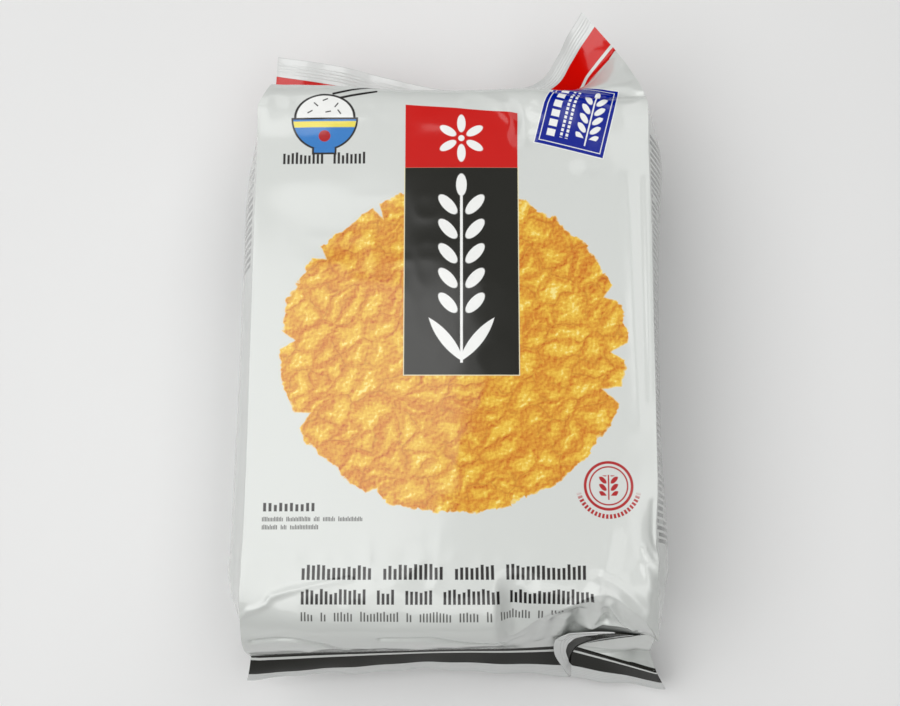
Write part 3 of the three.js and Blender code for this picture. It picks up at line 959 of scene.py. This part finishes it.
CRACKER_CENTRE = (-0.3, 0.6)
CRACKER_REACH = (70.4, 67.2)  # half its width and height
CRACKER_TILT = 38.0  # its flakes lie along this direction
RIM_BLOCK = 6.5  # the length of the steps in its rim, and their height
RIM_STEP = 1.1
# Notches in its rim, as (direction in degrees, depth, half width at the rim)
CRACKER_NOTCHES = (
    (118.3, 6.0, 1.7), (144.6, 4.2, 2.2), (177.1, 3.8, 2.4), (204.7, 4.5, 2.7), (241.7, 4.4, 3.0),
    (268.6, 2.8, 1.7), (19.2, 3.8, 2.8), (-1.4, 5.2, 3.0), (-15.7, 6.2, 3.0),
)
# How its flakes are bent, as (size of the bends, their reach, seed)
CRACKER_BENDS = ((13.0, 3.6, 21), (4.6, 1.3, 34))
FLAKES = (8.4, 1.4, 2)  # size, stretch and seed of its flakes
SMALL_FLAKES = (3.0, 1.2, 7)
LIT_STEP = (0.8, -0.8)  # away from the light at the upper left, to find what it lights
FINE_STEP = (0.6, -0.6)
CRACKER_TONES = (
    (0.00, srgb(196, 98, 22)), (0.12, srgb(212, 124, 34)), (0.30, srgb(221, 147, 46)),
    (0.50, srgb(230, 170, 56)), (0.68, srgb(239, 190, 66)), (0.84, srgb(246, 206, 82)),
    (1.00, srgb(255, 232, 140)),
)
CRACKER_RIM = srgb(246, 226, 160)
CRACKER_CREVICE = srgb(176, 84, 16)

EMBLEM = (-54.5, 98.6)
EMBLEM_SCALE = 1.18
# The rice in its bowl, as (x, y, turn in radians), and its chopsticks from end to end
BOWL_GRAINS = (
    (-6, 2.2, 0.5), (-2.6, 4.8, 2.4), (0.4, 2.4, 0.2), (3.6, 4.4, 0.9), (5.6, 1.8, 2.2), (-0.6, 6.8, 0.4),
)
BOWL_GRAIN = 1.6
CHOPSTICKS = (((3, 9.5), (17.5, 13.5)), ((4.5, 7.6), (18, 10.6)))

STAMP = (51.3, 100.9)
STAMP_SIZE = (29.2, 33)
STAMP_TURN = -13.9
# Its upright rows of blocks, as (left, right, bottom, top, pitch, ink)
STAMP_ROWS = (
    (-10.6, -7.2, -12.5, 10.5, 4.3, 0.7), (-5, -3.9, -12, 10.5, 1.9, 0.66),
    (-2.7, -1.6, -12, 10.5, 1.9, 0.66),
)
ROUND_SEAL = (61.4, -55.5)
DASHES = 12.3  # the radius of its ring of dashes

# Rows of bars in place of lettering, as (left, middle, height, letters in each word, pitch, ink)
DARK_ROWS = (
    (-72, 81.6, 5.4, (5, 4), 3.5, 0.56),
    (-77, -63.9, 3.6, (5,), 4.3, 0.56),
    (-77, -68.7, 1.9, (7, 8, 2, 4, 8), 1.22, 0.56),
    (-77, -71.9, 1.9, (5, 2, 9), 1.26, 0.56),
    (-61, -89.6, 6.4, (7, 6, 4, 8), 4.04, 0.6),
    (-61, -99.4, 6.2, (7, 2, 3, 6, 9), 3.74, 0.6),
)
GREY_ROWS = ((-61, -107.4, 4.2, (2, 1, 3, 6, 1, 5, 3, 1, 5, 1, 2), 2.6, 0.45),)

# Rows of bars over the left and right gussets, as (pitch, from and to along y, how many of the
# groups of three rows are printed)
LEFT_ROWS = (3.2, (36, 90), 0.85)
RIGHT_ROWS = (2.6, (-78, 94), 1.0)
SIDE_ROW = (50.0, 79.0)  # from and to across the film
SIDE_PITCH = 1.35  # of the bars along a row
SIDE_BAR = 0.46  # half of a bar's width

BACK_TABLE = ((-46.0, 20.0), (56.0, 92.0))  # its centre and size
BACK_ROWS = 4.6  # the pitches of its rows, of the bars in them and of their words
BACK_BARS = 1.7
BACK_WORDS = 8.5


def print_bands(film):
    """The bare seal and the bands along both ends, red at the top and black at the bottom."""
    bands = either(between(film.from_edge, *THICK_BAND), between(film.from_edge, *THIN_BAND))
    mask = inside(bands)
    film.paint(inside(film.from_edge - THICK_BAND[0]), SILVER)
    film.paint(mask, BLACK)
    film.paint(mask * inside(-film.y), RED)
    film.cover(mask)
    film.dull(mask * inside(film.y))


def cracker_outline(film):
    """The rim of the pictured cracker: an uneven ellipse with notches cut into it."""
    x, y = film.x - CRACKER_CENTRE[0], film.y - CRACKER_CENTRE[1]
    wide, tall = CRACKER_REACH
    radius = (wide + tall) / 2
    blocks = cell_random(maths("ARCTAN2", y, x) * (radius / RIM_BLOCK), y * 0, 4) - 0.5
    uneven = (film.noise(9.0, 1, 13) - 0.5) * 4.0 + (film.noise(2.6, 1, 17) - 0.5) * 2.0
    shape = (hypotenuse(x / wide, y / tall) - 1) * radius + uneven + blocks * RIM_STEP
    for direction, depth, half in CRACKER_NOTCHES:
        u, v = turned(x, y, (0, 0), direction)
        wedge = abs(v) - (u - (radius - depth)) * (half / depth) + uneven * 0.35
        shape = both(shape, -wedge)
    return shape


def flakes(film, warp, size, stretch, seed, shift):
    """Warped cells, longer than wide: the distance from each one's edge, and a number for it."""
    place = new_node(film.tree, "ShaderNodeMapping",
                     {"Vector": warp, "Location": seeded(seed, CELL_STEP, shift)})
    turn = new_node(film.tree, "ShaderNodeMapping", {
        "Vector": place.outputs[0],
        "Rotation": (0, 0, math.radians(CRACKER_TILT)),
        "Scale": (size * stretch, size, 1),
    }, vector_type="TEXTURE")
    values = []
    for feature, output in (("DISTANCE_TO_EDGE", "Distance"), ("F1", "Color")):
        cells = new_node(film.tree, "ShaderNodeTexVoronoi", {"Vector": turn.outputs[0], "Scale": 1},
                         voronoi_dimensions="2D", feature=feature)
        values.append(Field(cells.outputs[output]))
    return values


def warped(film, bends):
    """The places on the film, bent by noise."""
    place = film.place
    for size, reach, seed in bends:
        bend = new_node(film.tree, "ShaderNodeCombineXYZ", {
            axis: (film.noise(size, 1, seed + axis) - 0.5) * (2 * reach) for axis in (0, 1)})
        place = moved(place, bend.outputs[0])
    return place


def print_cracker(film):
    """A golden, uneven disc of yellow flakes over orange gaps, lit from the upper left."""
    place = warped(film, CRACKER_BENDS)
    gaps = film.noise(15.0, 2, 40) - 0.5
    ragged = film.noise(2.2, 2, 15) - 0.5
    heights = []
    for shift in (LIT_STEP, (0, 0)):
        edge, number = flakes(film, place, *FLAKES, shift)
        small, _ = flakes(film, place, *SMALL_FLAKES, shift)
        body = maths("MULTIPLY_ADD", edge + gaps * 0.5 + ragged * 0.3, 3.2, -0.3, clamp=True)
        heights.append(body + maths("MULTIPLY", small, 2.0, clamp=True) * 0.3)
    beside, here = heights
    crevice = inside(edge - 0.03, 0.03) * inside(0.5 - film.noise(9.0, 1, 66), 0.05)
    fine = film.noise(1.5, 2, 8) - film.noise(1.5, 2, 8, FINE_STEP)
    crumbs = film.noise(1.3, 1, 5) - 0.5
    broad = film.noise(30.0, 1, 71) - 0.5
    tone = (0.34 + here * 0.34 + (number - 0.5) * 0.18 + (here - beside) * 0.34 + fine * 0.5
            + crumbs * 0.35 + broad * 0.3)
    ramp = new_node(film.tree, "ShaderNodeValToRGB", {0: tone})
    stops = ramp.color_ramp.elements
    stops[0].position, stops[0].color = CRACKER_TONES[0]
    stops[1].position, stops[1].color = CRACKER_TONES[-1]
    for position, colour in CRACKER_TONES[1:-1]:
        stops.new(position).color = colour
    shape = cracker_outline(film)
    mask = inside(shape)
    film.paint(mask, ramp.outputs[0])
    film.paint(mask * crevice * 0.35, CRACKER_CREVICE)
    film.paint(inside(outline(shape + 0.15, 0.4), 0.2) * 0.6, CRACKER_RIM)
    film.cover(mask)


def rice_ear(x, y, pitch, pair, filled, stalk, stalk_width):
    """Grains in pairs up the y axis, and their stalk.

    A pair is (centre of the right one, length, width, turn). Filled and stalk are from and to.
    """
    grains = both(grain(abs(x), from_middle(y, pitch), *pair), between(y, *filled))
    return either(grains, both(abs(x) - stalk_width / 2, between(y, *stalk)))


def print_banner(film):
    """Black below and red above, with an ear of rice and a flower in place of lettering."""
    x, y = film.x, film.y
    sides = between(x, BANNER_LEFT, BANNER_RIGHT)
    slope = y + (x - BANNER_LEFT) * BANNER_SLOPE
    black = both(sides, between(y, BANNER_BOTTOM, BANNER_SPLIT))
    red = both(sides, BANNER_SPLIT - y, slope - BANNER_TOP)
    film.print_shape(black - THIN_LINE, PALE_LINE)
    film.print_shape(black, BLACK)
    film.print_shape(red, RED)
    film.cover(inside(either(black, red)))

    u, v = x - BANNER_MIDDLE, y - ((BANNER_SPLIT + BANNER_TOP) / 2 - 1)
    angle = repeat(maths("ARCTAN2", u, v), math.pi / 3)
    away = hypotenuse(u, v)
    petal_x, petal_y = away * maths("COSINE", angle), away * maths("SINE", angle)
    flower = either(grain(petal_x, petal_y, (6.4, 0), 7.6, 3.5, 0), disc(u, v, (0, 0), 1.3))
    film.print_shape(flower, WHITE)

    foot, first, tip = -5.5, 13.805, 66.0
    ear = rice_ear(u, y - first, pitch=(tip - first) / 5, pair=((5.6, 0.4), 10.6, 4.7, 48),
                   filled=(0, tip - 0.2 - first), stalk=(foot - first, tip - first), stalk_width=1.1)
    top = grain(u, y, (0, tip + 3.6), 9.6, 4.4, 90)
    leaf_width, leaf_reach = 30.0, 27.6
    leaf_x, leaf_y = turned(abs(u), y, (6.2, foot + 9.5), 52)
    leaf = both(disc(leaf_x, leaf_y, (0, leaf_reach), leaf_width),
                disc(leaf_x, leaf_y, (0, -leaf_reach), leaf_width))
    film.print_shape(either(ear, top, leaf), WHITE)


def print_emblem(film):
    """A heaped rice bowl with chopsticks."""
    x, y = (film.x - EMBLEM[0]) / EMBLEM_SCALE, (film.y - EMBLEM[1]) / EMBLEM_SCALE
    rice = both(grain(x, y, (0, 0.5), 21.0, 17.0, 0), -y)
    bowl = both(disc(x, y, (0, 0), 11.5), y)
    foot = box(x, y, (0, -11.6), (8.0, 2.6))
    grains = []
    for left, low, turn in BOWL_GRAINS:
        end = (left + BOWL_GRAIN * math.cos(turn), low + BOWL_GRAIN * math.sin(turn))
        grains.append(stroke(x, y, (left, low), end, 0.45))
    sticks = either(*(stroke(x, y, start, end, 0.9) for start, end in CHOPSTICKS))
    film.print_shape(sticks, DARK_INK)
    film.print_shape(either(rice, bowl, foot) - THIN_LINE, DARK_INK)
    film.print_shape(rice + THIN_LINE, WHITE)
    film.print_shape(either(*grains), DARK_INK)
    film.print_shape(either(bowl, foot) + THIN_LINE, BOWL_BLUE)
    film.print_shape(both(bowl + THIN_LINE, between(y, -3.2, -1.0)), YELLOW)
    film.print_shape(disc(x, y, (0, -6.4), 2.1), SEAL_RED)


def print_stamp(film):
    """A blue label, tilted, with a thin white frame, columns of blocks and a small ear."""
    x, y = turned(film.x, film.y, STAMP, STAMP_TURN)
    edge = box(x, y, (0, 0), STAMP_SIZE)
    film.print_shape(edge - THIN_LINE, WHITE)
    film.print_shape(edge, BLUE)
    film.print_shape(outline(edge + 1.6, THIN_LINE), WHITE)
    columns = (both(between(x, left, right), between(y, bottom, top), bars(y, pitch, ink))
               for left, right, bottom, top, pitch, ink in STAMP_ROWS)
    film.print_shape(either(*columns), WHITE)
    ear = rice_ear(x - 6, y + 12, pitch=4.2, pair=((2.9, 0.2), 5.2, 2.4, 46),
                   filled=(2.0, 21.0), stalk=(-1.2, 21.0), stalk_width=0.6)
    film.print_shape(either(ear, grain(x, y, (6, 10.6), 4.6, 2.3, 90)), WHITE)
    film.cover(inside(edge))


def print_round_seal(film):
    """A small ear of rice in two rings, with dashes round the lower part."""
    x, y = film.x - ROUND_SEAL[0], film.y - ROUND_SEAL[1]
    away = hypotenuse(x, y)
    rings = either(outline(away - 9.4, 1.1), outline(away - 7.6, 0.6))
    ear = rice_ear(x, y + 5, pitch=2.9, pair=((2.3, 0.1), 3.9, 1.8, 46),
                   filled=(1.0, 9.2), stalk=(-0.6, 9.4), stalk_width=0.56)
    angle = maths("ARCTAN2", x, -y)
    dashes = both(outline(away - DASHES, 1.8), bars(angle * DASHES, 1.55, 0.62), abs(angle) - 1.25)
    film.print_shape(either(rings, ear, dashes), SEAL_RED)


def front_film():
    film = Film("film_front")
    print_cracker(film)
    print_banner(film)
    print_emblem(film)
    print_stamp(film)
    print_round_seal(film)
    for rows, ink in ((DARK_ROWS, DARK_INK), (GREY_ROWS, GREY_INK)):
        film.print_shape(either(*(text_row(film.x, film.y, *row) for row in rows)), ink)
    return film.finish()


def side_film():
    """The gussets: rows of blocks across them, dense on the right and in groups on the left."""
    film = Film("film_side")
    x, y = abs(film.x), film.y
    is_right = inside(-film.x)
    letter = (x - SIDE_ROW[0]) / SIDE_PITCH
    bar = abs(from_middle(x - SIDE_ROW[0], SIDE_PITCH)) - SIDE_BAR
    for mask, (pitch, ends, printed) in ((is_right, RIGHT_ROWS), (1 - is_right, LEFT_ROWS)):
        row = maths("FLOOR", y / pitch)
        words = 0.1 - cell_random(letter / 5.0, row, 3)
        groups = cell_random(row / 3.0, row * 0, 5) - printed
        shape = both(bars(y, pitch, 0.6), bar, words, groups, between(y, *ends), between(x, *SIDE_ROW))
        film.paint(inside(shape) * mask, DARK_INK)
    return film.finish()


def back_film():
    """Plain film with a framed table of rows, and the bands."""
    film = Film("film_back")
    x, y = film.x, film.y
    table = box(x, y, *BACK_TABLE)
    film.print_shape(outline(table, 0.5), GREY_INK)
    words = 0.12 - cell_random(x / BACK_WORDS, y / BACK_ROWS, 7)
    rows = both(bars(y, BACK_ROWS, 0.4), bars(x, BACK_BARS, 0.66), words, table + 3.0)
    film.print_shape(rows, GREY_INK)
    return film.finish()


# ------------------------ floor, light and camera

CAMERA_TARGET = np.array([0.0, 0.0, DEPTH])
CAMERA_AWAY = 646.0
CAMERA_TILT = math.radians(11.5)
CAMERA_LENS = 63.5
CAMERA_SHIFT = (-5 / 900, -3 / 900)  # in shares of the picture's width

FLOOR_REACH = 3.0  # metres from the middle to each side
FLOOR_SURFACE = {"Base Color": (0.82, 0.82, 0.82, 1), "Roughness": 0.9}

SKY_COLOUR = (1.0, 1.0, 0.97, 1)
SKY_EDGE = 0.45  # the sine of the height where the sky begins
SKY_ZENITH = 0.5  # how bright it is at the top
LAMP_HEIGHT = 2.2

# The lamps, as (name, middle, width and length, turn in degrees, watts). The gloss of the banner
# mirrors the corner of the first one. The others stand clear of what the front panel mirrors.
LAMPS = (
    ("left_lamp", (-1.43, -0.36), (2.3, 2.6), -19, 42),
    ("right_lamp", (0.85, 0.0), (0.8, 2.0), 0, 8),
    ("near_lamp", (0.3, -1.0), (1.2, 1.2), 0, 6),
    ("far_left_lamp", (-1.45, 1.75), (1.9, 1.5), 0, 13),
    ("far_right_lamp", (1.45, 1.75), (1.9, 1.5), 0, 12),
)


def make_camera(shift):
    data = bpy.data.cameras.new("camera")
    data.lens = CAMERA_LENS
    data.shift_x, data.shift_y = CAMERA_SHIFT
    camera = add_object("camera", data)
    away = np.array([0, -math.sin(CAMERA_TILT), math.cos(CAMERA_TILT)]) * CAMERA_AWAY
    camera.location = (CAMERA_TARGET + away) * MM + shift
    camera.rotation_euler = (CAMERA_TILT, 0, 0)
    bpy.context.scene.camera = camera


def make_floor():
    mesh = bpy.data.meshes.new("floor")
    corners = [(x * FLOOR_REACH, y * FLOOR_REACH, 0) for x, y in ((-1, -1), (1, -1), (1, 1), (-1, 1))]
    mesh.from_pydata(corners, [], [(0, 1, 2, 3)])
    material = bpy.data.materials.new("floor")
    material.use_nodes = True
    feed(material.node_tree.nodes["Principled BSDF"], FLOOR_SURFACE)
    mesh.materials.append(material)
    floor = add_object("floor", mesh)


def area_light(name, middle, size, turn, power):
    """A rectangular lamp that shines straight down."""
    data = bpy.data.lights.new(name, "AREA")
    data.shape = "RECTANGLE"
    data.size, data.size_y = size
    data.energy = power
    light = add_object(name, data)
    light.location = (*middle, LAMP_HEIGHT)
    light.rotation_euler = (0, 0, math.radians(turn))


def make_light():
    """A room that is dark towards the horizon, and broad lamps overhead."""
    world = bpy.data.worlds.new("studio")
    bpy.context.scene.world = world
    world.use_nodes = True
    tree = world.node_tree
    place = tree.nodes.new("ShaderNodeTexCoord")
    split = new_node(tree, "ShaderNodeSeparateXYZ", {0: place.outputs["Generated"]})
    strength = new_node(tree, "ShaderNodeMapRange", {
        "Value": split.outputs["Z"], "From Min": SKY_EDGE, "To Max": SKY_ZENITH})
    feed(tree.nodes["Background"], {"Color": SKY_COLOUR, "Strength": strength.outputs[0]})
    for lamp in LAMPS:
        area_light(*lamp)


low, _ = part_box("cracker_bag")
leftmost = min(key[1] for key in LEFT_FOLD)
lowest = BOTTOM_BACK_SEAL[-1][2]
to_part = np.array([low.x - leftmost * MM, low.y - lowest * MM, 0])

bpy.context.scene.view_settings.view_transform = "Standard"
bag = make_bag(to_part, [front_film(), side_film(), back_film()])
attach(bag, "root")
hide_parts("cracker_bag")
make_floor()
make_light()
make_camera(to_part)
